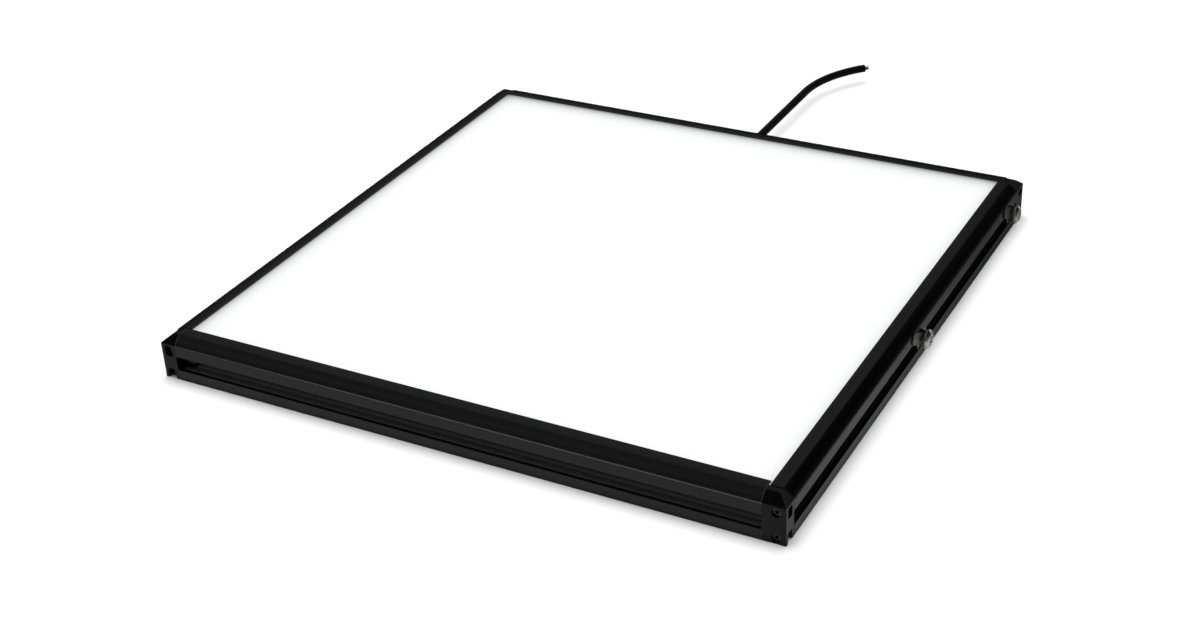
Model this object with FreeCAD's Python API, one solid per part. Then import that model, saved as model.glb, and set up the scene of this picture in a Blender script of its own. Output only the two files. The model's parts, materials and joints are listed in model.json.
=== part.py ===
import FreeCAD, Part
import math
import os
from FreeCAD import Vector

# LED light box: a flat back-lit panel in a frame of four slotted rails and four corner blocks.
# Millimetres, +Z up.  Origin: centre of the underside.  +X right, +Y to the back, the cable leaves at +Y.
# Rails and corner blocks are all drawn at the front or front-right and turned about Z in quarter turns.

# ---- driving dimensions ----
PANEL = 350.0  # outer width and depth
HEIGHT = 25.0  # overall height
HALF = PANEL / 2

# rail section: u is the distance in from the outer face, z the height
FACE_HEIGHT = 19.6  # height of the upright outer face
SLOPE_RUN = 5.5  # width of the curved slope above it
SLOPE_BULGE = 0.7  # how far the slope's arc stands off its chord
SHOULDER_ROUND = 3.0  # radius between the upright face and the slope
LIP_REACH = 11.5  # inner edge of the lip that frames the lit opening
LIP_THICK = 0.9
SLOT_CENTRE_Z = 9.85  # T-slot in the outer face
SLOT_OPENING = 8.0
SLOT_LIP = 2.0  # thickness of the slot's two lips
SLOT_CAVITY = 10.4  # height of the wide part behind the lips
SLOT_DEPTH = 7.2
WALL_INNER = 9.5  # inner face of the rail's upright wall
PLATE_RECESS = 8.8  # the base plate sits flush inside this line
LEDGE_REACH = 17.0  # ledge that the base plate screws to
LEDGE_THICK = 2.0
LEDGE_NOTCH = 158.0  # the ledges stop here, clear of each other in the corners
CHAMBER_U = (3.6, 7.0)  # hollow above the slot, holds the corner blocks' spigots
CHAMBER_Z = (19.0, 22.8)
PORT_U = 5.0  # screw ports at the rail's end
PORT_Z = (3.1, 16.8)
PORT_R = 1.25

# corner blocks
BLOCK_LONG = 12.0  # width of the face with the screws
BLOCK_SHORT = 8.8  # width of the face with the moulded pockets
BLOCK_FACE_HEIGHT = 20.3
BLOCK_TOP = 24.5
BLOCK_BULGE = 0.2
JOINT_GAP = 0.1  # between a rail's end and a block
TONGUE_LENGTH = 8.0
TONGUE_U = (4.6, 7.2)  # the tongue keeps to the back of the slot
TONGUE_PLAY = 0.3
SPIGOT_LENGTH = 10.0
SPIGOT_LEAD = 2.0  # tapered end of a spigot
SPIGOT_TAPER = 0.6
FIT_GAP = 0.1
POCKET_DEPTH = 2.2
POCKET_SPAN = (2.0, 6.8)  # across the face, from the corner edge
POCKET_UPPER = (13.2, 19.2)
POCKET_LOWER = (0.0, 5.6)
POCKET_ROUND = 1.2

# corner screws, M2.5 socket cap
CAP_HEAD_R = 2.25
CAP_HEAD_H = 2.5
CAP_SHANK_R = 1.2
CAP_LENGTH = 15.0
CAP_SINK = 3.6  # depth of the counterbore floor below the block's face
CAP_BORE_R = 2.4
CAP_SOCKET = (2.0, 1.4)  # across flats, depth

# base plate and its screws, M3 countersunk
PLATE_THICK = 2.2
PLATE_HALF = HALF - 9.0
CSK_HEAD_R = 2.8
CSK_HEAD_H = 1.4
CSK_SHANK_R = 1.45
CSK_SOCKET = (2.0, 1.1)
CSK_INSET = 14.2
CSK_STATIONS = (-120.0, -40.0, 40.0, 120.0)

# lit sandwich
OPTIC_HALF = HALF - 9.0
DIFFUSER_THICK = 3.0
FILM_THICK = 0.2
FILM_INSET = 0.5
OPTIC_PLAY = 0.05
SHELF_THICK = 1.0
DIFFUSER_TOP = HEIGHT - LIP_THICK - OPTIC_PLAY
FILM_TOP = DIFFUSER_TOP - DIFFUSER_THICK
SHELF_TOP = FILM_TOP - FILM_THICK - OPTIC_PLAY

# LED boards
PAD_THICK = 0.3
BOARD_COUNT = 8
BOARD_PITCH = 40.0
BOARD_WIDTH = 32.0
BOARD_HALF_LENGTH = 157.0
BOARD_THICK = 1.6
BOARD_TOP = PLATE_THICK + PAD_THICK + BOARD_THICK
LED_PITCH = 20.0
LED_COUNT = 16
LED_SIZE = (2.8, 3.5, 0.8)
BOARD_SCREW_Y = (-140.0, 0.0, 140.0)
BOARD_SCREW_TIP = 0.7
PAD_INSET = 1.0
LINK_R = 0.45
LINK_LAP = 2.0  # how far a link reaches onto each board
LINK_RISE = 1.1
LINK_INSET = 1.2  # from the boards' ends

# reflector tray
TRAY_SHEET = 0.5
TRAY_FLOOR_HALF = 154.0
TRAY_TOP_HALF = 164.6
TRAY_TOP = SHELF_TOP - SHELF_THICK - 0.1
TRAY_LED_HOLE_R = 2.6
TRAY_SCREW_HOLE_R = 1.5

# pan-head screws that hold the boards and the tray, M2.5
PAN_HEAD_R = 2.3
PAN_HEAD_H = 1.6
PAN_SHANK_R = 1.2
PAN_SOCKET = (1.5, 0.8)

# supply board in the bay behind the tray's rear wall
SUPPLY_X = (18.0, 118.0)
SUPPLY_Y = (158.6, 165.2)
SUPPLY_THICK = 1.2
SUPPLY_LIFT = 0.1
TERMINAL_X = (21.0, 35.0)
TERMINAL_Y = (160.2, 165.0)
TERMINAL_H = 6.0
TERMINAL_ENTRY = 4.0  # depth of a wire entry
TERMINAL_WELL_X = (26.0, 32.0)
TERMINAL_WELL = (1.2, 1.2)  # radius, depth
REGULATOR_COUNT = 4
REGULATOR_PITCH = 16.0
REGULATOR_START = 12.0  # right of the terminal block
REGULATOR_WIDTH = 6.5
REGULATOR_Y = (159.4, 163.4)
REGULATOR_H = 1.7
CAPACITOR_START = 6.0
CAPACITOR_R = 2.0
CAPACITOR_H = 4.2
SUPPLY_MIDDLE_Y = 162.6  # line of the terminal screws and capacitors

# cable
CABLE_R = 2.5
CABLE_BORE_R = 1.5
CORE_R = 0.6
CORE_OFFSET = 0.72
CABLE_INNER_Y = 163.5
CABLE_STRAIGHT_Y = 270.0
CABLE_BEND_R = 73.5
CABLE_BEND_DEG = 45.0
CORE_TAIL = 3.0  # the cores stand out of the jacket's cut end
CORE_ENTRY = 3.0  # into the terminal block
CORE_TURN_R = 2.0
GROMMET_HOLE_R = 4.0
GROMMET_FLANGE_R = 5.0
GROMMET_FLANGE = 1.4
GROMMET_PLAY = 0.02

# slot fittings in the right rail: nut, swivel tab, spring washer, M6 button-head screw
FITTING_Y = {"mid": 4.0, "rear": 155.5}
NUT_LENGTH = 12.0
NUT_HEIGHT = 10.0
NUT_NECK = 7.8
NUT_BACK_U = 6.8
NUT_NECK_U = 2.1
NUT_FRONT_U = 0.5
THREAD_R = 3.05
SHANK_R = 3.0
TAB_THICK = 0.8
TAB_EYE_R = 4.4
TAB_WIDTH = 6.6
TAB_LENGTH = 19.0
TAB_ANGLE = 153.0  # from +Y towards +Z
TAB_HOLE_R = 3.1
WASHER_THICK = 1.0
WASHER_R = 4.2
HEAD_R = 5.25
HEAD_H = 2.7
HEAD_EDGE = 0.9  # upright edge of the button head below its dome
HEAD_CROWN = 2.6  # radius of the flat ring round the socket
HEAD_DOME = 0.35  # how far the dome's middle stands off its chord, on each axis
SOCKET_AF = 4.0
SOCKET_DEPTH = 1.6
SCREW_TIP_U = 6.9
SLIP = 0.05  # running clearance between stacked fitting pieces

OVER = 1.0  # how far a cutting tool runs past the surface it opens
LAP = 0.3  # how far two solids overlap before they are fused

SLOT_LOW = SLOT_CENTRE_Z - SLOT_OPENING / 2
SLOT_HIGH = SLOT_CENTRE_Z + SLOT_OPENING / 2
CAVITY_LOW = SLOT_CENTRE_Z - SLOT_CAVITY / 2
CAVITY_HIGH = SLOT_CENTRE_Z + SLOT_CAVITY / 2
SUPPLY_TOP = PLATE_THICK + LEDGE_THICK + SUPPLY_LIFT + SUPPLY_THICK
SCREWED_END = -(HALF - BLOCK_SHORT - JOINT_GAP)
KEYED_END = HALF - BLOCK_LONG - JOINT_GAP


# ---- small helpers ----
def box(x, y, z):
    """Box from three (low, high) pairs."""
    low = Vector(x[0], y[0], z[0])
    return Part.makeBox(x[1] - x[0], y[1] - y[0], z[1] - z[0], low)


def rod(radius, start, end):
    """Cylinder between two points."""
    a = Vector(*start)
    b = Vector(*end)
    return Part.makeCylinder(radius, (b - a).Length, a, b - a)


def hexagon_prism(across_flats, centre, direction, side):
    """Six-sided prism; side is a direction across two flats."""
    axis = Vector(*direction)
    reach = across_flats / math.sqrt(3)
    first = Vector(*side).normalize() * reach
    turn = FreeCAD.Rotation(axis, 60)
    corners = []
    for _ in range(6):
        corners.append(Vector(*centre) + first)
        first = turn.multVec(first)
    return Part.Face(Part.makePolygon(corners + [corners[0]])).extrude(axis)


def quarter_turn(shape, times):
    """Copy of a shape turned about Z by a number of quarter turns."""
    turned = shape.copy()
    turned.rotate(Vector(0, 0, 0), Vector(0, 0, 1), 90 * times)
    return turned


def cut_all(body, tools):
    """Body with every tool cut away."""
    return body.cut(Part.makeCompound(tools))


def save(name, solids):
    """Write one node, a single solid or a group of separate ones."""
    shape = solids if isinstance(solids, Part.Shape) else Part.makeCompound(solids)
    shape.exportStep("parts/" + name + ".step")


def slope_middle(face_height, top, bulge):
    """Middle point (u, z) of the curved slope between the upright face and the flat top."""
    rise = top - face_height
    chord = math.hypot(SLOPE_RUN, rise)
    u = SLOPE_RUN / 2 - bulge * rise / chord
    z = face_height + rise / 2 + bulge * SLOPE_RUN / chord
    return u, z


# ---- frame rails ----
def rail_section():
    """Closed face of the rail's section, for the front rail, in the plane x = SCREWED_END."""
    ledge_low = PLATE_THICK
    ledge_high = PLATE_THICK + LEDGE_THICK
    shelf_low = SHELF_TOP - SHELF_THICK
    lip_low = HEIGHT - LIP_THICK
    outline = [
        (0, FACE_HEIGHT), (0, SLOT_HIGH), (SLOT_LIP, SLOT_HIGH), (SLOT_LIP, CAVITY_HIGH),
        (SLOT_DEPTH, CAVITY_HIGH), (SLOT_DEPTH, CAVITY_LOW), (SLOT_LIP, CAVITY_LOW),
        (SLOT_LIP, SLOT_LOW), (0, SLOT_LOW), (0, 0), (PLATE_RECESS, 0), (PLATE_RECESS, ledge_low),
        (LEDGE_REACH, ledge_low), (LEDGE_REACH, ledge_high), (WALL_INNER, ledge_high),
        (WALL_INNER, shelf_low), (LIP_REACH, shelf_low), (LIP_REACH, SHELF_TOP),
        (PLATE_RECESS, SHELF_TOP), (PLATE_RECESS, lip_low), (LIP_REACH, lip_low),
        (LIP_REACH, HEIGHT), (SLOPE_RUN, HEIGHT),
    ]

    def at(u, z):
        return Vector(SCREWED_END, u - HALF, z)

    edges = []
    for a, b in zip(outline, outline[1:]):
        edges.append(Part.makeLine(at(*a), at(*b)))
    middle = slope_middle(FACE_HEIGHT, HEIGHT, SLOPE_BULGE)
    slope = Part.Arc(at(SLOPE_RUN, HEIGHT), at(*middle), at(0, FACE_HEIGHT))
    edges.append(slope.toShape())
    return Part.Face(Part.Wire(edges))


def shoulder_edges(rail):
    """The long edge where the front rail's upright face meets its slope."""
    found = []
    for edge in rail.Edges:
        bounds = edge.BoundBox
        on_face = abs(bounds.YMin + HALF) < LAP
        at_top = abs(bounds.ZMin - FACE_HEIGHT) < LAP
        if bounds.XLength > PANEL / 2 and on_face and at_top:
            found.append(edge)
    return found


def front_rail():
    """One rail, drawn at the front: extruded section, screw ports, spigot chamber, notched ledge."""
    length = KEYED_END - SCREWED_END
    rail = rail_section().extrude(Vector(length, 0, 0))
    rail = rail.makeFillet(SHOULDER_ROUND, shoulder_edges(rail))
    through = (SCREWED_END - OVER, KEYED_END + OVER)
    tools = []
    for z in PORT_Z:
        y = PORT_U - HALF
        tools.append(rod(PORT_R, (through[0], y, z), (through[1], y, z)))
    tools.append(box(through, (CHAMBER_U[0] - HALF, CHAMBER_U[1] - HALF), CHAMBER_Z))
    ledge_top = PLATE_THICK + LEDGE_THICK
    notch_y = (LIP_REACH - HALF, LEDGE_REACH - HALF + OVER)
    notch_z = (PLATE_THICK - OVER, ledge_top + OVER)
    tools.append(box((through[0], -LEDGE_NOTCH), notch_y, notch_z))
    tools.append(box((LEDGE_NOTCH, through[1]), notch_y, notch_z))
    for x in CSK_STATIONS:
        y = CSK_INSET - HALF
        tools.append(rod(CSK_SHANK_R + FIT_GAP / 2, (x, y, 0), (x, y, ledge_top + OVER)))
    return cut_all(rail, tools)


def rear_rail(plain_rail):
    """The rear rail, with the grommet's hole through its wall at the middle."""
    rail = quarter_turn(plain_rail, 2)
    start = (0, HALF - WALL_INNER - OVER, SLOT_CENTRE_Z)
    end = (0, HALF - SLOT_DEPTH + OVER, SLOT_CENTRE_Z)
    return rail.cut(rod(GROMMET_HOLE_R, start, end))


# ---- corner blocks ----
def block_column(face_axis):
    """Section of the frame's outline at a corner, swept along the front (x) or the side (y)."""
    middle = slope_middle(BLOCK_FACE_HEIGHT, BLOCK_TOP, BLOCK_BULGE)

    def at(u, z):
        if face_axis == "x":
            return Vector(HALF - BLOCK_LONG, u - HALF, z)
        return Vector(HALF - u, -HALF, z)

    corners = [
        (0, BLOCK_FACE_HEIGHT), (0, 0), (BLOCK_LONG, 0), (BLOCK_LONG, BLOCK_TOP), (SLOPE_RUN, BLOCK_TOP),
    ]
    edges = []
    for a, b in zip(corners, corners[1:]):
        edges.append(Part.makeLine(at(*a), at(*b)))
    slope = Part.Arc(at(SLOPE_RUN, BLOCK_TOP), at(*middle), at(0, BLOCK_FACE_HEIGHT))
    edges.append(slope.toShape())
    sweep = Vector(BLOCK_LONG, 0, 0) if face_axis == "x" else Vector(0, BLOCK_SHORT, 0)
    return Part.Face(Part.Wire(edges)).extrude(sweep)


def block_pocket(span_z):
    """Shallow rounded pocket in the short face."""
    y = (POCKET_SPAN[0] - HALF, POCKET_SPAN[1] - HALF)
    pocket = box((HALF - POCKET_DEPTH, HALF + OVER), y, span_z)
    along_x = []
    for edge in pocket.Edges:
        direction = edge.Vertexes[1].Point - edge.Vertexes[0].Point
        if abs(direction.x) > POCKET_DEPTH and edge.BoundBox.ZMin > 0:
            along_x.append(edge)
    return pocket.makeFillet(POCKET_ROUND, along_x)


def block_spigot(u, z, length, side):
    """Tapered peg that slides into a rail's end; side is the block face that it leaves."""
    low = (u[0] + FIT_GAP, z[0] + FIT_GAP)
    high = (u[1] - FIT_GAP, z[1] - FIT_GAP)
    wires = []
    for distance, inset in ((-OVER, 0.0), (length - SPIGOT_LEAD, 0.0), (length, SPIGOT_TAPER)):
        corners = []
        for a, b in ((low[0] + inset, low[1] + inset), (high[0] - inset, low[1] + inset),
                     (high[0] - inset, high[1] - inset), (low[0] + inset, high[1] - inset)):
            if side == "left":
                corners.append(Vector(HALF - BLOCK_LONG - distance, a - HALF, b))
            else:
                corners.append(Vector(HALF - a, BLOCK_SHORT - HALF + distance, b))
        wires.append(Part.makePolygon(corners + [corners[0]]))
    return Part.makeLoft(wires, True, True)


def corner_block():
    """One corner block, drawn at the front right: screws go back into the right rail."""
    body = block_column("x").common(block_column("y"))
    tongue_z = (SLOT_LOW + TONGUE_PLAY, SLOT_HIGH - TONGUE_PLAY)
    body = body.fuse(block_spigot(TONGUE_U, tongue_z, TONGUE_LENGTH, "back"))
    body = body.fuse(block_spigot(CHAMBER_U, CHAMBER_Z, SPIGOT_LENGTH, "back"))
    body = body.fuse(block_spigot(CHAMBER_U, CHAMBER_Z, SPIGOT_LENGTH, "left"))
    tools = [block_pocket(POCKET_UPPER), block_pocket((POCKET_LOWER[0] - OVER, POCKET_LOWER[1]))]
    x = HALF - PORT_U
    for z in PORT_Z:
        tools.append(rod(CAP_BORE_R, (x, -HALF - OVER, z), (x, CAP_SINK - HALF, z)))
        tools.append(rod(PORT_R + FIT_GAP, (x, -HALF, z), (x, BLOCK_SHORT - HALF + OVER, z)))
    return cut_all(body, tools).removeSplitter()


def cap_screw(z):
    """Socket cap screw of the front-right block."""
    x = HALF - PORT_U
    base = CAP_SINK - HALF
    head = rod(CAP_HEAD_R, (x, base - CAP_HEAD_H, z), (x, base, z))
    shank = rod(CAP_SHANK_R, (x, base - LAP, z), (x, base + CAP_LENGTH, z))
    flats, depth = CAP_SOCKET
    socket = hexagon_prism(flats, (x, base - CAP_HEAD_H, z), (0, depth, 0), (1, 0, 0))
    screw = head.fuse(shank).cut(socket)
    return screw.removeSplitter()


# ---- base plate ----
def csk_spots():
    """Places (x, y) of the base plate's screws, the same pattern along every side."""
    spots = []
    for station in CSK_STATIONS:
        inset = HALF - CSK_INSET
        spots += [(station, -inset), (inset, station), (-station, inset), (-inset, -station)]
    return spots


def board_centres():
    """The x of each LED board's centre line."""
    first = -BOARD_PITCH * (BOARD_COUNT - 1) / 2
    return [first + BOARD_PITCH * i for i in range(BOARD_COUNT)]


def board_screw_spots():
    """Places (x, y) of the screws that hold the LED boards."""
    return [(x, y) for x in board_centres() for y in BOARD_SCREW_Y]


def base_plate():
    """Flat aluminium plate that closes the underside and takes the boards' heat."""
    plate = box((-PLATE_HALF, PLATE_HALF), (-PLATE_HALF, PLATE_HALF), (0, PLATE_THICK))
    tools = []
    for x, y in csk_spots():
        tools.append(rod(CSK_SHANK_R + FIT_GAP, (x, y, -OVER), (x, y, PLATE_THICK + OVER)))
        sink = Part.makeCone(CSK_HEAD_R + FIT_GAP, CSK_SHANK_R + FIT_GAP, CSK_HEAD_H, Vector(x, y, 0))
        tools.append(sink)
    for x, y in board_screw_spots():
        low = (x, y, BOARD_SCREW_TIP - FIT_GAP)
        tools.append(rod(PAN_SHANK_R + FIT_GAP / 2, low, (x, y, PLATE_THICK + OVER)))
    return cut_all(plate, tools)


def csk_screw(x, y):
    """Countersunk screw, its head flush with the underside."""
    top = PLATE_THICK + LEDGE_THICK
    head = Part.makeCone(CSK_HEAD_R, CSK_SHANK_R, CSK_HEAD_H, Vector(x, y, 0))
    shank = rod(CSK_SHANK_R, (x, y, CSK_HEAD_H - LAP), (x, y, top))
    flats, depth = CSK_SOCKET
    socket = hexagon_prism(flats, (x, y, 0), (0, 0, depth), (1, 0, 0))
    return head.fuse(shank).cut(socket).removeSplitter()


# ---- lit sandwich ----
def sheet(half, low, high):
    """Square sheet centred on the origin."""
    return box((-half, half), (-half, half), (low, high))


def led_spots():
    """Places (x, y) of the LEDs: two rows to each board."""
    first = -LED_PITCH * (LED_COUNT - 1) / 2
    line = [first + LED_PITCH * i for i in range(LED_COUNT)]
    return [(x, y) for x in line for y in line]


def tray_shell():
    """Frustum with sloped walls, open at the top."""
    def frustum(low, low_half, high, high_half):
        wires = []
        for z, half in ((low, low_half), (high, high_half)):
            signs = ((-1, -1), (1, -1), (1, 1), (-1, 1))
            ring = [Vector(i * half, j * half, z) for i, j in signs]
            wires.append(Part.makePolygon(ring + [ring[0]]))
        return Part.makeLoft(wires, True, True)

    spread = (TRAY_TOP_HALF - TRAY_FLOOR_HALF) / (TRAY_TOP - BOARD_TOP)
    floor_top = BOARD_TOP + TRAY_SHEET
    inner_low = TRAY_FLOOR_HALF - TRAY_SHEET + spread * TRAY_SHEET
    inner_high = TRAY_TOP_HALF - TRAY_SHEET + spread * OVER
    outer = frustum(BOARD_TOP, TRAY_FLOOR_HALF, TRAY_TOP, TRAY_TOP_HALF)
    return outer.cut(frustum(floor_top, inner_low, TRAY_TOP + OVER, inner_high))


def reflector_tray():
    """White tray on the boards, with a hole for each LED and each board screw."""
    span = (BOARD_TOP - OVER, BOARD_TOP + OVER)
    tools = []
    for x, y in led_spots():
        tools.append(rod(TRAY_LED_HOLE_R, (x, y, span[0]), (x, y, span[1])))
    for x, y in board_screw_spots():
        tools.append(rod(TRAY_SCREW_HOLE_R, (x, y, span[0]), (x, y, span[1])))
    return cut_all(tray_shell(), tools)


def led_board(x):
    """LED board with its three screw holes."""
    half = BOARD_WIDTH / 2
    length = (-BOARD_HALF_LENGTH, BOARD_HALF_LENGTH)
    board = box((x - half, x + half), length, (BOARD_TOP - BOARD_THICK, BOARD_TOP))
    tools = [rod(TRAY_SCREW_HOLE_R, (x, y, 0), (x, y, BOARD_TOP + OVER)) for y in BOARD_SCREW_Y]
    return cut_all(board, tools)


def thermal_pad(x):
    """Thin pad under an LED board, with its screw holes."""
    half = BOARD_WIDTH / 2 - PAD_INSET
    reach = BOARD_HALF_LENGTH - PAD_INSET
    pad = box((x - half, x + half), (-reach, reach), (PLATE_THICK, PLATE_THICK + PAD_THICK))
    tools = [rod(TRAY_SCREW_HOLE_R, (x, y, 0), (x, y, BOARD_TOP)) for y in BOARD_SCREW_Y]
    return cut_all(pad, tools)


def led(x, y):
    """Surface-mount LED."""
    w, d, h = LED_SIZE
    return box((x - w / 2, x + w / 2), (y - d / 2, y + d / 2), (BOARD_TOP, BOARD_TOP + h))


def board_screw(x, y):
    """Pan-head screw through the tray, board and pad into the base plate."""
    seat = BOARD_TOP + TRAY_SHEET
    head = rod(PAN_HEAD_R, (x, y, seat), (x, y, seat + PAN_HEAD_H))
    shank = rod(PAN_SHANK_R, (x, y, BOARD_SCREW_TIP), (x, y, seat + LAP))
    flats, depth = PAN_SOCKET
    socket_floor = (x, y, seat + PAN_HEAD_H - depth)
    socket = hexagon_prism(flats, socket_floor, (0, 0, depth + OVER), (1, 0, 0))
    return head.fuse(shank).cut(socket).removeSplitter()


def board_links(y):
    """Arched wire links between neighbouring LED boards, at one end of the boards."""
    low = BOARD_TOP + LINK_R + SLIP
    reach = BOARD_WIDTH / 2 - LINK_LAP
    links = []
    centres = board_centres()
    for a, b in zip(centres, centres[1:]):
        start = Vector(a + reach, y, low)
        end = Vector(b - reach, y, low)
        top = Vector((a + b) / 2, y, low + LINK_RISE)
        path = Part.Wire(Part.Arc(start, top, end).toShape())
        links.append(round_pipe(path, LINK_R))
    return links


# ---- supply board ----
def supply_board():
    """Narrow board on the rear ledge that feeds the LED boards."""
    low = SUPPLY_TOP - SUPPLY_THICK
    return box(SUPPLY_X, SUPPLY_Y, (low, SUPPLY_TOP))


def terminal_block():
    """Two-way terminal block with wire entries on its left and screw wells on top."""
    top = SUPPLY_TOP + TERMINAL_H
    block = box(TERMINAL_X, TERMINAL_Y, (SUPPLY_TOP, top))
    left = TERMINAL_X[0]
    tools = []
    y = CABLE_INNER_Y - CORE_TURN_R
    for z in (SLOT_CENTRE_Z - CORE_OFFSET, SLOT_CENTRE_Z + CORE_OFFSET):
        tools.append(rod(CORE_R + FIT_GAP, (left - OVER, y, z), (left + TERMINAL_ENTRY, y, z)))
    radius, depth = TERMINAL_WELL
    for x in TERMINAL_WELL_X:
        low = (x, SUPPLY_MIDDLE_Y, top - depth)
        tools.append(rod(radius, low, (x, SUPPLY_MIDDLE_Y, top + OVER)))
    return cut_all(block, tools)


def regulators():
    """Current regulators in a row on the supply board."""
    height = (SUPPLY_TOP, SUPPLY_TOP + REGULATOR_H)
    parts = []
    for i in range(REGULATOR_COUNT):
        x = TERMINAL_X[1] + REGULATOR_START + i * REGULATOR_PITCH
        parts.append(box((x, x + REGULATOR_WIDTH), REGULATOR_Y, height))
    return parts


def capacitors():
    """Low round capacitors beside the regulators."""
    parts = []
    y = SUPPLY_MIDDLE_Y
    for i in range(REGULATOR_COUNT):
        x = TERMINAL_X[1] + CAPACITOR_START + i * REGULATOR_PITCH
        can = rod(CAPACITOR_R, (x, y, SUPPLY_TOP), (x, y, SUPPLY_TOP + CAPACITOR_H))
        parts.append(can.makeFillet(CAPACITOR_R / 5, [can.Edges[0]]))
    return parts


# ---- cable ----
def round_pipe(path, radius):
    """Round bar along a wire that is smooth from end to end."""
    first = path.OrderedEdges[0]
    start = first.valueAt(first.FirstParameter)
    heading = first.tangentAt(first.FirstParameter)
    if (start - path.OrderedVertexes[0].Point).Length > 1e-6:
        start = first.valueAt(first.LastParameter)
        heading = first.tangentAt(first.LastParameter) * -1
    ring = Part.Wire(Part.makeCircle(radius, start, heading))
    return path.makePipeShell([ring], True, False)


def cable_path(z, tail=0.0, into_terminal=False):
    """Centre line of the cable: straight out of the rear rail, then a bend to the right."""
    bend = math.radians(CABLE_BEND_DEG)

    def on_bend(angle):
        x = CABLE_BEND_R * (1 - math.cos(angle))
        y = CABLE_STRAIGHT_Y + CABLE_BEND_R * math.sin(angle)
        return Vector(x, y, z)

    edges = []
    inner = Vector(0, CABLE_INNER_Y, z)  # end of the jacket inside the housing
    if into_terminal:
        turn_end = Vector(CORE_TURN_R, CABLE_INNER_Y - CORE_TURN_R, z)
        k = CORE_TURN_R * (1 - math.cos(math.radians(45)))
        turn_mid = Vector(k, CABLE_INNER_Y - CORE_TURN_R + k, z)
        entry = Vector(TERMINAL_X[0] + CORE_ENTRY, CABLE_INNER_Y - CORE_TURN_R, z)
        edges.append(Part.makeLine(entry, turn_end))
        edges.append(Part.Arc(turn_end, turn_mid, inner).toShape())
    edges.append(Part.makeLine(inner, on_bend(0)))
    edges.append(Part.Arc(on_bend(0), on_bend(bend / 2), on_bend(bend)).toShape())
    if tail:
        heading = Vector(math.sin(bend), math.cos(bend), 0)
        edges.append(Part.makeLine(on_bend(bend), on_bend(bend) + heading * tail))
    return Part.Wire(edges)


def cable_jacket():
    """Round jacket, hollow for the cores."""
    path = cable_path(SLOT_CENTRE_Z)
    return round_pipe(path, CABLE_R).cut(round_pipe(path, CABLE_BORE_R))


def cable_core(offset):
    """One insulated core, from the terminal block to the cut end."""
    return round_pipe(cable_path(SLOT_CENTRE_Z + offset, CORE_TAIL, True), CORE_R)


def cable_grommet():
    """Rubber grommet in the rear rail's wall, with a flange on each side."""
    inner = HALF - WALL_INNER
    outer = HALF - SLOT_DEPTH
    start = (0, inner - GROMMET_FLANGE, SLOT_CENTRE_Z)
    end = (0, outer + GROMMET_FLANGE, SLOT_CENTRE_Z)
    ring = rod(GROMMET_HOLE_R - GROMMET_PLAY, start, end)
    ring = ring.fuse(rod(GROMMET_FLANGE_R, start, (0, inner - GROMMET_PLAY, SLOT_CENTRE_Z)))
    ring = ring.fuse(rod(GROMMET_FLANGE_R, (0, outer + GROMMET_PLAY, SLOT_CENTRE_Z), end))
    bore = rod(CABLE_R + GROMMET_PLAY, start, end)
    return ring.cut(bore).removeSplitter()


# ---- slot fittings ----
def along_x(radius, y, u_start, u_end):
    """Cylinder along X at the slot's centre line; u counts in from the outer face, negative outside."""
    return rod(radius, (HALF - u_start, y, SLOT_CENTRE_Z), (HALF - u_end, y, SLOT_CENTRE_Z))


def slot_nut(y):
    """T-nut: wide body behind the slot's lips and a neck between them."""
    span = (y - NUT_LENGTH / 2, y + NUT_LENGTH / 2)
    half = NUT_HEIGHT / 2
    neck_half = NUT_NECK / 2
    body = box((HALF - NUT_BACK_U, HALF - NUT_NECK_U), span, (SLOT_CENTRE_Z - half, SLOT_CENTRE_Z + half))
    neck_z = (SLOT_CENTRE_Z - neck_half, SLOT_CENTRE_Z + neck_half)
    neck = box((HALF - NUT_NECK_U - LAP, HALF - NUT_FRONT_U), span, neck_z)
    nut = body.fuse(neck).cut(along_x(THREAD_R, y, NUT_BACK_U + OVER, NUT_FRONT_U - OVER))
    return nut.removeSplitter()


def swivel_tab(y):
    """Flat steel finger with an eye round the screw; its tip rests over the slot's upper lip."""
    back = HALF + SLIP
    depth = Vector(TAB_THICK, 0, 0)
    eye = rod(TAB_EYE_R, (back, y, SLOT_CENTRE_Z), (back + TAB_THICK, y, SLOT_CENTRE_Z))
    half = TAB_WIDTH / 2
    tip = TAB_LENGTH - half

    def at(along, across):
        return Vector(back, y + along, SLOT_CENTRE_Z + across)

    outline = Part.Wire([
        Part.makeLine(at(0, -half), at(tip, -half)),
        Part.Arc(at(tip, -half), at(TAB_LENGTH, 0), at(tip, half)).toShape(),
        Part.makeLine(at(tip, half), at(0, half)),
        Part.makeLine(at(0, half), at(0, -half)),
    ])
    finger = Part.Face(outline).extrude(depth)
    finger.rotate(at(0, 0), Vector(1, 0, 0), TAB_ANGLE)
    hole = along_x(TAB_HOLE_R, y, OVER, -TAB_THICK - OVER)
    return eye.fuse(finger).cut(hole).removeSplitter()


def spring_washer(y):
    """Thin washer between the tab and the screw's head."""
    back = -(TAB_THICK + 2 * SLIP)
    ring = along_x(WASHER_R, y, back, back - WASHER_THICK)
    return ring.cut(along_x(TAB_HOLE_R, y, back + OVER, back - WASHER_THICK - OVER))


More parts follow.
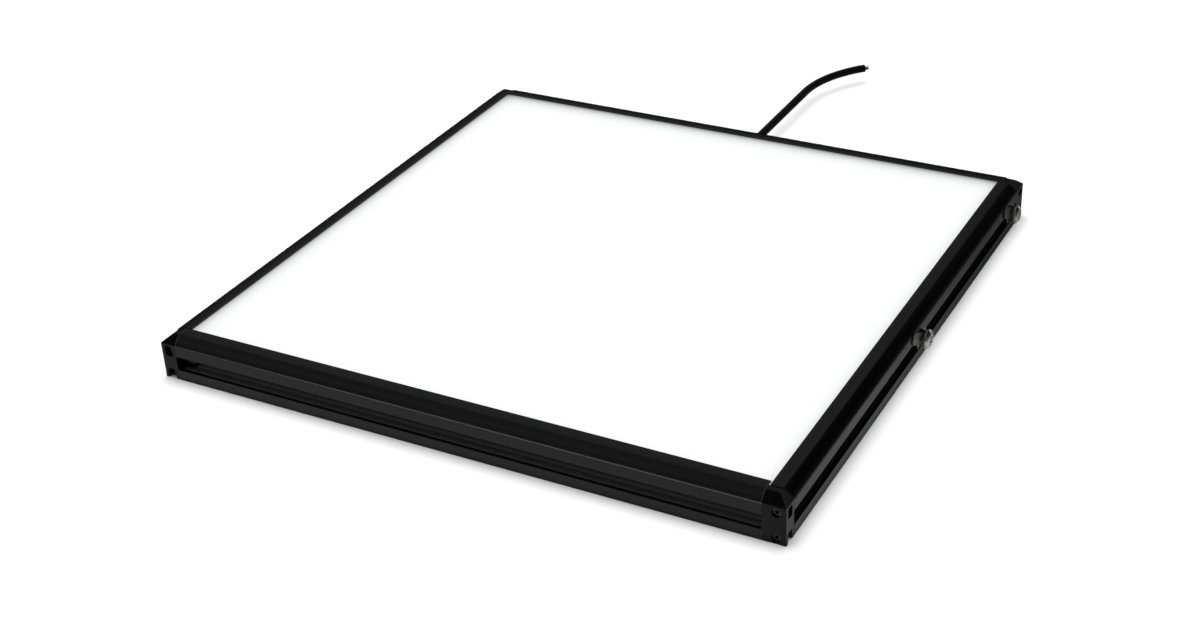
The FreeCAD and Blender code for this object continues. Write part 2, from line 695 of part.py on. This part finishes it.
def clamp_screw(y):
    """Button-head screw with a domed head and a hexagon socket."""
    seat = HALF + TAB_THICK + WASHER_THICK + 3 * SLIP
    centre = Vector(seat, y, SLOT_CENTRE_Z)

    def at(out, r):
        return centre + Vector(out, r, 0)

    mid_r = (HEAD_R + HEAD_CROWN) / 2 + HEAD_DOME
    mid_out = (HEAD_EDGE + HEAD_H) / 2 + HEAD_DOME
    outline = Part.Wire([
        Part.makeLine(at(0, 0), at(0, HEAD_R)),
        Part.makeLine(at(0, HEAD_R), at(HEAD_EDGE, HEAD_R)),
        Part.Arc(at(HEAD_EDGE, HEAD_R), at(mid_out, mid_r), at(HEAD_H, HEAD_CROWN)).toShape(),
        Part.makeLine(at(HEAD_H, HEAD_CROWN), at(HEAD_H, 0)),
        Part.makeLine(at(HEAD_H, 0), at(0, 0)),
    ])
    head = Part.Face(outline).revolve(centre, Vector(1, 0, 0), 360)
    shank = rod(SHANK_R, (seat + LAP, y, SLOT_CENTRE_Z), (HALF - SCREW_TIP_U, y, SLOT_CENTRE_Z))
    socket_floor = (seat + HEAD_H - SOCKET_DEPTH, y, SLOT_CENTRE_Z)
    socket = hexagon_prism(SOCKET_AF, socket_floor, (SOCKET_DEPTH + OVER, 0, 0), (0, 1, 0))
    return head.fuse(shank).cut(socket).removeSplitter()


# ---- write every node ----
def save_frame():
    rail = front_rail()
    save("front_rail", rail)
    save("right_rail", quarter_turn(rail, 1))
    save("rear_rail", rear_rail(rail))
    save("left_rail", quarter_turn(rail, 3))
    block = corner_block()
    corners = ("front_right_corner", "rear_right_corner", "rear_left_corner", "front_left_corner")
    screws = []
    for turn, name in enumerate(corners):
        save(name, quarter_turn(block, turn))
        screws += [quarter_turn(cap_screw(z), turn) for z in PORT_Z]
    save("corner_screws", screws)
    save("base_plate", base_plate())
    save("base_plate_screws", [csk_screw(x, y) for x, y in csk_spots()])


def save_light():
    save("diffuser_plate", sheet(OPTIC_HALF, FILM_TOP, DIFFUSER_TOP))
    save("diffusion_film", sheet(OPTIC_HALF - FILM_INSET, FILM_TOP - FILM_THICK, FILM_TOP))
    save("reflector_tray", reflector_tray())
    save("led_boards", [led_board(x) for x in board_centres()])
    save("thermal_pads", [thermal_pad(x) for x in board_centres()])
    save("leds", [led(x, y) for x, y in led_spots()])
    save("board_screws", [board_screw(x, y) for x, y in board_screw_spots()])
    link_y = BOARD_HALF_LENGTH - LINK_INSET
    save("positive_links", board_links(link_y))
    save("negative_links", board_links(-link_y))


def save_supply():
    save("supply_board", supply_board())
    save("terminal_block", terminal_block())
    save("regulators", regulators())
    save("capacitors", capacitors())
    save("cable_grommet", cable_grommet())
    save("cable_jacket", cable_jacket())
    save("positive_core", cable_core(CORE_OFFSET))
    save("negative_core", cable_core(-CORE_OFFSET))


def save_fittings():
    for place, y in FITTING_Y.items():
        save("slot_nut_" + place, slot_nut(y))
        save("swivel_tab_" + place, swivel_tab(y))
        save("spring_washer_" + place, spring_washer(y))
        save("clamp_screw_" + place, clamp_screw(y))


os.makedirs("parts", exist_ok=True)
save_frame()
save_light()
save_supply()
save_fittings()
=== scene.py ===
import json
import math
import bpy
from mathutils import Matrix, Vector

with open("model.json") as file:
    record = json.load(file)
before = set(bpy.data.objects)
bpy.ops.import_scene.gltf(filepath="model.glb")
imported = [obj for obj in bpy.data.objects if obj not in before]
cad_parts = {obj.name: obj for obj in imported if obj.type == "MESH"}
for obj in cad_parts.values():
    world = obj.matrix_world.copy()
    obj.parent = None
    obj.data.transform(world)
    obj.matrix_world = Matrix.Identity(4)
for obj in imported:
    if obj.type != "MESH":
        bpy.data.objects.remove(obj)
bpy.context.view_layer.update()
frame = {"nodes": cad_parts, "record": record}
nodes = frame["nodes"]

# Lengths are in metres, measured from the middle of the panel's underside.
SLOT_LOW, SLOT_HIGH = 0.0046, 0.0151    # heights that the T-slots lie between
SLOT_FACE = 0.1731                      # a slot's interior lies nearer to the middle than this
FRONT_SLOT = -0.163                     # everything further forward belongs to the front slot
FRONT_SLOT_PAINTED_LIGHT = (0.0074, 0.005)             # heights over which the front slot's interior is painted lighter, as painted light from the front
LONG_END, SHORT_END = 0.1661, 0.1629    # a rail's two sawn ends, measured along it
CUT_BAND = 0.0004                       # width of the pale line at a sawn end, bare metal with a painted highlight
LIT_HALF = 0.1635                       # half the width of the lit opening
LED_PITCH = 0.02
FITTINGS = ("mid", "rear")


# ---- node helpers ----
def fill(tree, node, inputs):
    """Set a node's inputs; each is a value or a socket to link from."""
    for key, value in inputs.items():
        if isinstance(value, bpy.types.NodeSocket):
            tree.links.new(value, node.inputs[key])
        else:
            node.inputs[key].default_value = value


def put(tree, kind, inputs=None, **props):
    """Add a shader node."""
    node = tree.nodes.new(kind)
    for key, value in props.items():
        setattr(node, key, value)
    fill(tree, node, inputs or {})
    return node


def grey(level):
    return (level, level, level, 1.0)


def place(tree):
    """Object coordinates, in metres."""
    return put(tree, "ShaderNodeTexCoord").outputs["Object"]


def axes(tree, vector):
    """The x, y and z parts of a vector."""
    return put(tree, "ShaderNodeSeparateXYZ", {0: vector}).outputs


def facing(tree):
    """The direction that a face looks in."""
    return put(tree, "ShaderNodeNewGeometry").outputs["Normal"]


def noise(tree, scale, detail=3.0, rough=0.55):
    """Noise in object space; the scale is one number, or three for the three axes."""
    stretch = scale if isinstance(scale, tuple) else (scale,) * 3
    where = put(tree, "ShaderNodeMapping", {"Vector": place(tree), "Scale": stretch}).outputs[0]
    settings = {"Vector": where, "Scale": 1.0, "Detail": detail, "Roughness": rough}
    return put(tree, "ShaderNodeTexNoise", settings).outputs[0]


def spread(tree, value, low, high, start=0.3, end=0.7):
    """Map a value from start..end onto low..high."""
    settings = {"Value": value, "From Min": start, "From Max": end, "To Min": low, "To Max": high}
    return put(tree, "ShaderNodeMapRange", settings, clamp=True).outputs[0]


def maths(tree, operation, *values):
    return put(tree, "ShaderNodeMath", dict(enumerate(values)), operation=operation).outputs[0]


def product(tree, first, *others):
    """All the values multiplied together."""
    for other in others:
        first = maths(tree, "MULTIPLY", first, other)
    return first


def outermost(tree, x, y):
    """Distance from the panel's middle along the axis where it is larger."""
    return maths(tree, "MAXIMUM", maths(tree, "ABSOLUTE", x), maths(tree, "ABSOLUTE", y))


def dot(tree, one, other):
    return put(tree, "ShaderNodeVectorMath", {0: one, 1: other}, operation="DOT_PRODUCT").outputs["Value"]


def blend(tree, factor, a, b):
    """Mix two colours."""
    node = put(tree, "ShaderNodeMix", data_type="RGBA")
    fill(tree, node, {0: factor, 6: a, 7: b})
    return node.outputs[2]


def bump(tree, height, strength, distance, normal=None):
    settings = {"Height": height, "Strength": strength, "Distance": distance}
    if normal is not None:
        settings["Normal"] = normal
    return put(tree, "ShaderNodeBump", settings).outputs[0]


def edge_mask(tree, radius):
    """Nearly 0 on faces and 1 on edges that are sharper than the radius."""
    rounded = put(tree, "ShaderNodeBevel", {"Radius": radius}, samples=6).outputs[0]
    return spread(tree, dot(tree, rounded, facing(tree)), 1.0, 0.0, 0.75, 0.99)


def material(name):
    made = bpy.data.materials.new(name)
    made.use_nodes = True
    made.node_tree.nodes.clear()
    return made, made.node_tree


def surface(tree, **inputs):
    """Principled surface with the inputs given by name, underscores standing for spaces."""
    named = {key.replace("_", " "): value for key, value in inputs.items()}
    shader = put(tree, "ShaderNodeBsdfPrincipled", named)
    put(tree, "ShaderNodeOutputMaterial", {"Surface": shader.outputs[0]})


# ---- materials ----
WORN_AND_LIT_EDGE = (0.02, 0.02, 0.021, 1)     # edges where a black finish has rubbed thin, with a painted edge highlight


def slot_mask(tree):
    """1 inside the frame's T-slots."""
    x, y, z = axes(tree, place(tree))
    within = maths(tree, "LESS_THAN", outermost(tree, x, y), SLOT_FACE)
    above = maths(tree, "GREATER_THAN", z, SLOT_LOW)
    below = maths(tree, "LESS_THAN", z, SLOT_HIGH)
    return product(tree, within, product(tree, above, below))


def cut_mask(tree, along):
    """Pale lines on the sawn ends of the rails: bare where the anodising is gone, and a painted highlight
    where the ends catch the light.
    """
    x, y, _ = axes(tree, place(tree))
    if along == 0:
        run = product(tree, x, maths(tree, "SIGN", y))
    else:
        run = product(tree, y, -1.0, maths(tree, "SIGN", x))
    strength = 0.7
    far = spread(tree, run, 0.0, strength, LONG_END - CUT_BAND, LONG_END)
    near = spread(tree, run, strength, 0.0, -SHORT_END, CUT_BAND - SHORT_END)
    return maths(tree, "MAXIMUM", far, near)


def anodised(name, along):
    """Satin black anodised extrusion with die lines along one axis, 0 for x and 1 for y."""
    made, tree = material(name)

    def drawn(over, down):
        """Noise scale: one number across the die lines, another down their length."""
        return tuple(down if axis == along else over for axis in range(3))

    lines = noise(tree, drawn(1800.0, 3.0), detail=2.0)
    bands = noise(tree, drawn(420.0, 1.2), detail=4.0)
    cloud = noise(tree, 18.0, detail=4.0)
    grain = noise(tree, 5200.0, detail=1.0)
    tint = spread(tree, bands, 0.0, 1.0, 0.35, 0.7)
    body = blend(tree, tint, (0.0006, 0.0006, 0.00065, 1), (0.0022, 0.0022, 0.0024, 1))

    _, depth, height = axes(tree, place(tree))
    # painted light: slot interiors are painted paler than the black outside, the front slot most and
    # lighter towards its bottom, standing in for light reaching in from the front
    inside = blend(tree, spread(tree, height, 0.0, 1.0, *FRONT_SLOT_PAINTED_LIGHT), grey(0.04), grey(0.22))
    inside = blend(tree, maths(tree, "LESS_THAN", depth, FRONT_SLOT), grey(0.03), inside)
    body = blend(tree, slot_mask(tree), body, inside)

    # painted light: the front and rear rails get paler edges and brighter sawn ends than the side rails,
    # for how each is lit
    lit_edge_share, bare_and_lit_end = (1.0, 0.06) if along == 0 else (0.3, 0.015)
    edge_wear_and_highlight = product(tree, edge_mask(tree, 0.00035), spread(tree, cloud, 0.25 * lit_edge_share, 0.9 * lit_edge_share))
    colour = blend(tree, edge_wear_and_highlight, body, WORN_AND_LIT_EDGE)
    colour = blend(tree, cut_mask(tree, along), colour, grey(bare_and_lit_end))

    rough = maths(tree, "ADD", spread(tree, lines, 0.14, 0.24), spread(tree, cloud, -0.03, 0.05))
    normal = bump(tree, lines, 0.16, 0.00004)
    normal = bump(tree, grain, 0.1, 0.00002, normal)
    sides = {0: facing(tree), 1: drawn(0.0, 1.0)}
    across = put(tree, "ShaderNodeVectorMath", sides, operation="CROSS_PRODUCT").outputs[0]
    surface(tree, Base_Color=colour, Roughness=rough, Specular_IOR_Level=0.5, Normal=normal,
            Anisotropic=0.4, Tangent=across)
    return made


def moulded(name):
    """Black moulded plastic with a fine spark-eroded grain."""
    made, tree = material(name)
    grain = noise(tree, 2600.0, rough=0.6)
    cloud = noise(tree, 60.0)
    drift = spread(tree, cloud, 0.0, 1.0)
    body = blend(tree, drift, (0.0008, 0.0008, 0.0009, 1), (0.002, 0.002, 0.0021, 1))
    right, forward, up = axes(tree, facing(tree))
    # painted light: slopes facing right are painted paler, and slopes facing the front get less shine, as
    # each is lit
    right_slope_painted_light = spread(tree, product(tree, right, up), 0.0, 1.0, 0.1, 0.35)
    body = blend(tree, right_slope_painted_light, body, (0.011, 0.011, 0.0112, 1))
    gloss = spread(tree, product(tree, forward, up), 0.08, 0.33, -0.35, -0.1)
    # edges painted paler, as rubbed wear and as a painted edge highlight
    edge_wear_and_highlight = product(tree, edge_mask(tree, 0.0004), spread(tree, cloud, 0.1, 0.6))
    colour = blend(tree, edge_wear_and_highlight, body, WORN_AND_LIT_EDGE)
    rough = maths(tree, "ADD", spread(tree, grain, 0.16, 0.26), spread(tree, cloud, -0.03, 0.04))
    surface(tree, Base_Color=colour, Roughness=rough, Specular_IOR_Level=gloss,
            Normal=bump(tree, grain, 0.12, 0.00003))
    return made


def opal(name, lit_level):
    """Back-lit opal acrylic: an even glow that falls off towards the edges of the lit opening."""
    made, tree = material(name)
    x, y, _ = axes(tree, place(tree))

    def falloff(coordinate, sign, depth, width):
        """1 away from one edge, 1 - depth at it."""
        inward = maths(tree, "MULTIPLY_ADD", coordinate, sign, LIT_HALF)
        fade = maths(tree, "EXPONENT", maths(tree, "DIVIDE", inward, -width))
        return maths(tree, "MULTIPLY_ADD", fade, -depth, 1.0)

    left = falloff(x, 1.0, 0.61, 0.0034)
    rear = falloff(y, -1.0, 0.77, 0.0046)
    right = falloff(x, -1.0, 0.25, 0.0032)
    front = falloff(y, 1.0, 0.1, 0.003)
    turn = math.tau / LED_PITCH
    wave_x = maths(tree, "COSINE", maths(tree, "MULTIPLY", x, turn))
    wave_y = maths(tree, "COSINE", maths(tree, "MULTIPLY", y, turn))
    ripple = 0.006
    dots = product(tree, wave_x, wave_y, -ripple)
    cloud = spread(tree, noise(tree, 7.0, detail=2.0), -ripple, ripple)
    even = maths(tree, "ADD", maths(tree, "ADD", dots, cloud), lit_level)
    satin = noise(tree, 3000.0, detail=2.0)
    surface(tree, Base_Color=(0.01, 0.01, 0.01, 1), Roughness=spread(tree, satin, 0.32, 0.44),
            Normal=bump(tree, satin, 0.1, 0.00002), Specular_IOR_Level=0.2,
            Emission_Color=(0.99, 0.993, 1.0, 1),
            Emission_Strength=product(tree, left, rear, right, front, even))
    return made


def plated(name, level, rough_low, rough_high):
    """Plated or blackened steel with turning marks, small scratches, handling marks and a painted
    highlight on its edges.
    """
    made, tree = material(name)
    scratch = noise(tree, (4000.0, 900.0, 350.0), detail=2.0)
    spots = noise(tree, 700.0, detail=4.0, rough=0.65)
    tint = spread(tree, spots, 0.0, 1.0, 0.35, 0.65)
    colour = blend(tree, tint, grey(level * 0.72), (level, level, level * 0.97, 1))
    # painted highlight: edges are painted paler, for the light rims that the screw heads catch
    edge_highlight = product(tree, edge_mask(tree, 0.0003), spread(tree, spots, 0.4, 1.0))
    colour = blend(tree, edge_highlight, colour, grey(min(0.9, level * 2.5)))
    rough = maths(tree, "ADD", spread(tree, scratch, rough_low, rough_high),
                  spread(tree, spots, -0.04, 0.06))
    surface(tree, Base_Color=colour, Metallic=1.0, Roughness=rough,
            Normal=bump(tree, scratch, 0.2, 0.00003))
    return made


def plain(name, colour, rough, spec=0.4, size=900.0):
    """Moulded or coated surface: small grain, slow colour drift."""
    made, tree = material(name)
    grain = noise(tree, size)
    cloud = noise(tree, size / 20)
    dark = tuple(c * 0.8 for c in colour) + (1,)
    light = tuple(min(1.0, c * 1.15) for c in colour) + (1,)
    tone = blend(tree, spread(tree, cloud, 0.0, 1.0), dark, light)
    surface(tree, Base_Color=tone, Roughness=spread(tree, grain, rough - 0.06, rough + 0.08),
            Specular_IOR_Level=spec, Normal=bump(tree, grain, 0.25, 0.00003))
    return made


looks = {
    "corner_plastic": moulded("corner_plastic"),
    "black_steel": plated("black_steel", 0.09, 0.28, 0.42),
    "zinc_steel": plated("zinc_steel", 0.85, 0.2, 0.32),
    "base_aluminium": anodised("base_aluminium", 0),
    "opal_acrylic": opal("opal_acrylic", 1.01),
    "diffusion_film": plain("diffusion_film", (0.85, 0.85, 0.85), 0.5),
    "reflector_white": plain("reflector_white", (0.88, 0.88, 0.87), 0.6),
    "board_white": plain("board_white", (0.82, 0.83, 0.8), 0.35),
    "led_phosphor": plain("led_phosphor", (0.9, 0.75, 0.25), 0.4, size=4000.0),
    "pad_grey": plain("pad_grey", (0.4, 0.42, 0.45), 0.7),
    "board_green": plain("board_green", (0.03, 0.2, 0.09), 0.35),
    "terminal_green": plain("terminal_green", (0.05, 0.32, 0.12), 0.4),
    "chip_black": plain("chip_black", (0.02, 0.02, 0.02), 0.5),
    "can_aluminium": plated("can_aluminium", 0.75, 0.2, 0.3),
    "cable_black": plain("cable_black", (0.004, 0.004, 0.0043), 0.42, spec=0.3, size=1500.0),
    "grommet_black": plain("grommet_black", (0.006, 0.006, 0.006), 0.6),
    "core_white": plain("core_white", (0.6, 0.6, 0.6), 0.35),
    "core_black": plain("core_black", (0.01, 0.01, 0.01), 0.35),
    "screw_steel": plated("screw_steel", 0.55, 0.25, 0.4),
}
rail_x = anodised("anodised_x", 0)
rail_y = anodised("anodised_y", 1)
strip_steel = plated("strip_steel", 0.36, 0.3, 0.45)


def look_of(node, slot):
    """A node's material: die lines run along a rail, and strip parts are duller than turned ones."""
    if slot == "black_anodised":
        return rail_x if node in ("front_rail", "rear_rail") else rail_y
    if node.startswith(("swivel_tab", "spring_washer")):
        return strip_steel
    return looks[slot]


for part in frame["record"]["subparts"]:
    mesh = nodes[part["node"]].data
    mesh.materials.clear()
    mesh.materials.append(look_of(part["node"], part["material_slot"]))


# ---- edges ----
def round_edges(node, width):
    """Small rounding on the edges of a CAD node, as modifiers."""
    piece = nodes[node]
    piece.modifiers.new("weld", "WELD").merge_threshold = 1e-6
    flat = piece.modifiers.new("flat", "DECIMATE")
    flat.decimate_type = "DISSOLVE"
    flat.angle_limit = math.radians(0.3)
    edge = piece.modifiers.new("round", "BEVEL")
    edge.width = width
    edge.segments = 2
    edge.limit_method = "ANGLE"
    edge.angle_limit = math.radians(35)
    piece.modifiers.new("normals", "WEIGHTED_NORMAL")


for name in ("front_rail", "right_rail", "rear_rail", "left_rail"):
    round_edges(name, 0.00018)
for name in ("front_right_corner", "rear_right_corner", "rear_left_corner", "front_left_corner"):
    round_edges(name, 0.0003)
for fitting in FITTINGS:
    round_edges("slot_nut_" + fitting, 0.00025)
    round_edges("swivel_tab_" + fitting, 0.00015)
    round_edges("clamp_screw_" + fitting, 0.00015)


# ---- floor ----
REACH = 30.0
BELOW = 0.0001      # the floor lies this far under the panel, clear of its underside
corners = [(-REACH, -REACH, 0), (REACH, -REACH, 0), (REACH, REACH, 0), (-REACH, REACH, 0)]
floor_mesh = bpy.data.meshes.new("floor")
floor_mesh.from_pydata(corners, [], [(0, 1, 2, 3)])
floor = bpy.data.objects.new("floor", floor_mesh)
bpy.context.scene.collection.objects.link(floor)
floor.location.z = -BELOW
paper, tree = material("paper")
fibre = noise(tree, 140.0, detail=4.0)
tone = blend(tree, spread(tree, fibre, 0.0, 1.0), grey(0.92), grey(0.93))
# The camera sees pale paper. Reflections see a dimmer glow, strongest in front of the panel and
# weaker behind it, to its right and underneath it.
direct = put(tree, "ShaderNodeLightPath").outputs["Is Camera Ray"]
across, depth, _ = axes(tree, place(tree))
bounce = product(
    tree,
    spread(tree, depth, 0.36, 0.06, -0.06, 0.12),
    spread(tree, across, 1.0, 0.8, 0.15, 0.17),
    spread(tree, across, 1.0, 0.15, 0.2, 0.3),
    spread(tree, outermost(tree, across, depth), 0.45, 1.0, 0.175, 0.1785),
    maths(tree, "SUBTRACT", 1.0, direct),
)
surface(tree, Base_Color=blend(tree, direct, grey(0.07), tone), Roughness=0.9, Specular_IOR_Level=0.0,
        Emission_Color=grey(1.0), Emission_Strength=bounce)
floor.data.materials.append(paper)


# ---- surroundings ----
GLOW = 0.012        # light from every direction
LOBES = (           # direction, where a patch starts and is full (cosine from its middle), strength
    ((-0.4, 0.66, 0.72), 0.88, 0.985, 0.2),
    ((-0.42, -0.25, 0.85), 0.75, 0.98, 0.15),
    ((-0.42, -0.76, 0.5), 0.86, 0.98, 0.09),
    ((-0.42, -0.905, -0.03), 0.95, 0.998, 3.2),
    ((0.7, -0.62, 0.35), 0.9, 0.99, 0.12),
    ((-0.88, -0.4, 0.26), 0.9, 0.99, 0.12),
)
world = bpy.data.worlds.new("studio")
bpy.context.scene.world = world
world.use_nodes = True
tree = world.node_tree
tree.nodes.clear()
heading = put(tree, "ShaderNodeTexCoord").outputs["Generated"]
sky = GLOW
for direction, start, full, strength in LOBES:
    closeness = dot(tree, heading, Vector(direction).normalized())
    settings = {"Value": closeness, "From Min": start, "From Max": full, "To Min": 0.0, "To Max": strength}
    patch = put(tree, "ShaderNodeMapRange", settings, interpolation_type="SMOOTHSTEP").outputs[0]
    sky = maths(tree, "ADD", patch, sky)
seen = put(tree, "ShaderNodeLightPath").outputs["Is Camera Ray"]
soft = put(tree, "ShaderNodeBackground", {"Color": grey(1.0), "Strength": sky})
white = put(tree, "ShaderNodeBackground", {"Color": grey(1.0), "Strength": 1.0})
mix = put(tree, "ShaderNodeMixShader", {0: seen, 1: soft.outputs[0], 2: white.outputs[0]})
put(tree, "ShaderNodeOutputWorld", {"Surface": mix.outputs[0]})


# ---- lamps ----
OVERHEAD = (-0.07, 0.115, 1.0)


def sun_lamp(name, towards, energy, angle):
    """A distant lamp that shines from a direction; a wider angle gives softer shadows."""
    light = bpy.data.lights.new(name, "SUN")
    light.energy = energy
    light.angle = math.radians(angle)
    lamp = bpy.data.objects.new(name, light)
    lamp.rotation_euler = Vector(towards).to_track_quat("Z", "Y").to_euler()
    bpy.context.scene.collection.objects.link(lamp)
    return lamp


def group(name, *names):
    """A collection of CAD nodes, for lamps that treat them differently."""
    made = bpy.data.collections.new(name)
    for node in names:
        made.objects.link(nodes[node])
    return made


screws = ["clamp_screw_" + fitting for fitting in FITTINGS]
strips = [kind + fitting for kind in ("spring_washer_", "swivel_tab_") for fitting in FITTINGS]

# the small pieces and the cable get their shadow from the ceiling only
softbox = sun_lamp("softbox", OVERHEAD, 2.6, 43)
softbox.visible_glossy = False
shadowless = group("small_pieces", *screws, *strips, "cable_jacket")
for entry in shadowless.collection_objects:
    entry.light_linking.link_state = "EXCLUDE"
softbox.light_linking.blocker_collection = shadowless
sun_lamp("ceiling", OVERHEAD, 1.05, 90).visible_glossy = False

# two lamps from below light the clamp screws only, as the floor in front of them would
glints = group("glints", *screws)
for name, towards, energy, angle in (
    ("paper_bounce_back", (0.15, 0.83, -0.5), 2.6, 80),
    ("paper_bounce_side", (0.72, 0.24, -0.63), 0.7, 38),
):
    lamp = sun_lamp(name, towards, energy, angle)
    lamp.data.use_shadow = False
    lamp.light_linking.receiver_collection = glints


# ---- camera ----
AZIMUTH = 29.18
ELEVATION = 30.256
ROLL = -2.729
DISTANCE = 0.9983
TARGET = Vector((0.0140, -0.0463, 0.0125))
az = math.radians(AZIMUTH)
el = math.radians(ELEVATION)
back = Vector((math.sin(az) * math.cos(el), -math.cos(az) * math.cos(el), math.sin(el)))
lens = bpy.data.cameras.new("camera")
lens.lens = 56.628
lens.sensor_width = 36.0
lens.clip_start = 0.01
camera = bpy.data.objects.new("camera", lens)
turn = (-back).to_track_quat("-Z", "Y").to_matrix() @ Matrix.Rotation(math.radians(ROLL), 3, "Z")
camera.matrix_world = Matrix.Translation(TARGET + back * DISTANCE) @ turn.to_4x4()
bpy.context.scene.collection.objects.link(camera)
bpy.context.scene.camera = camera
bpy.context.scene.view_settings.view_transform = "Standard"
